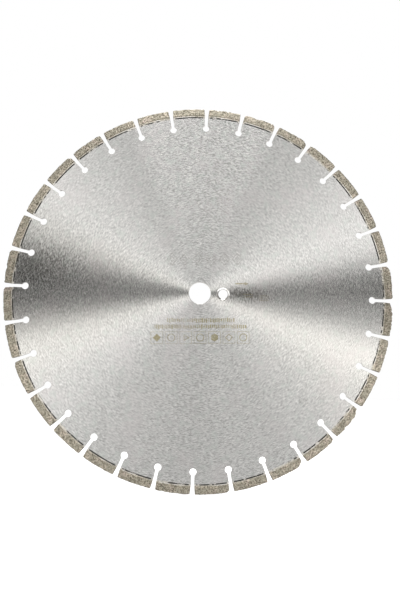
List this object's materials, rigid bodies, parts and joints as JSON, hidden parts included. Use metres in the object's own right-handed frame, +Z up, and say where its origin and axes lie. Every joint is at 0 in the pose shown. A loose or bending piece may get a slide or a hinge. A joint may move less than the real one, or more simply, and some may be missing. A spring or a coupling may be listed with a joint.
{
  "type": "diamond blade",
  "caption": "Flat round steel saw blade for concrete with keyhole gullets, laser-welded diamond segments round its rim, a central arbor bore and a drive pin hole.",
  "frame": {"origin": "centre of the arbor bore, halfway through the core's thickness", "axes": "+Y along the turning axis, from the marked front face to the back face; +X from the bore to the drive pin hole, along the middle of a gullet; +Z up across the blade"},
  "size_m": [0.45, 0.0036, 0.45],
  "materials": {
    "ground_steel": "ground round and round, satin",
    "sintered_bond": "sintered metal bond with diamond grit, matt"
  },
  "bodies": {
    "root": {"steel_core": "ground_steel", "segment_01": "sintered_bond", "segment_02": "sintered_bond", "segment_03": "sintered_bond", "segment_04": "sintered_bond", "segment_05": "sintered_bond", "segment_06": "sintered_bond", "segment_07": "sintered_bond", "segment_08": "sintered_bond", "segment_09": "sintered_bond", "segment_10": "sintered_bond", "segment_11": "sintered_bond", "segment_12": "sintered_bond", "segment_13": "sintered_bond", "segment_14": "sintered_bond", "segment_15": "sintered_bond", "segment_16": "sintered_bond", "segment_17": "sintered_bond", "segment_18": "sintered_bond", "segment_19": "sintered_bond", "segment_20": "sintered_bond", "segment_21": "sintered_bond", "segment_22": "sintered_bond", "segment_23": "sintered_bond", "segment_24": "sintered_bond", "segment_25": "sintered_bond", "segment_26": "sintered_bond", "segment_27": "sintered_bond", "segment_28": "sintered_bond", "segment_29": "sintered_bond", "segment_30": "sintered_bond", "segment_31": "sintered_bond", "segment_32": "sintered_bond"}
  },
  "joints": []
}
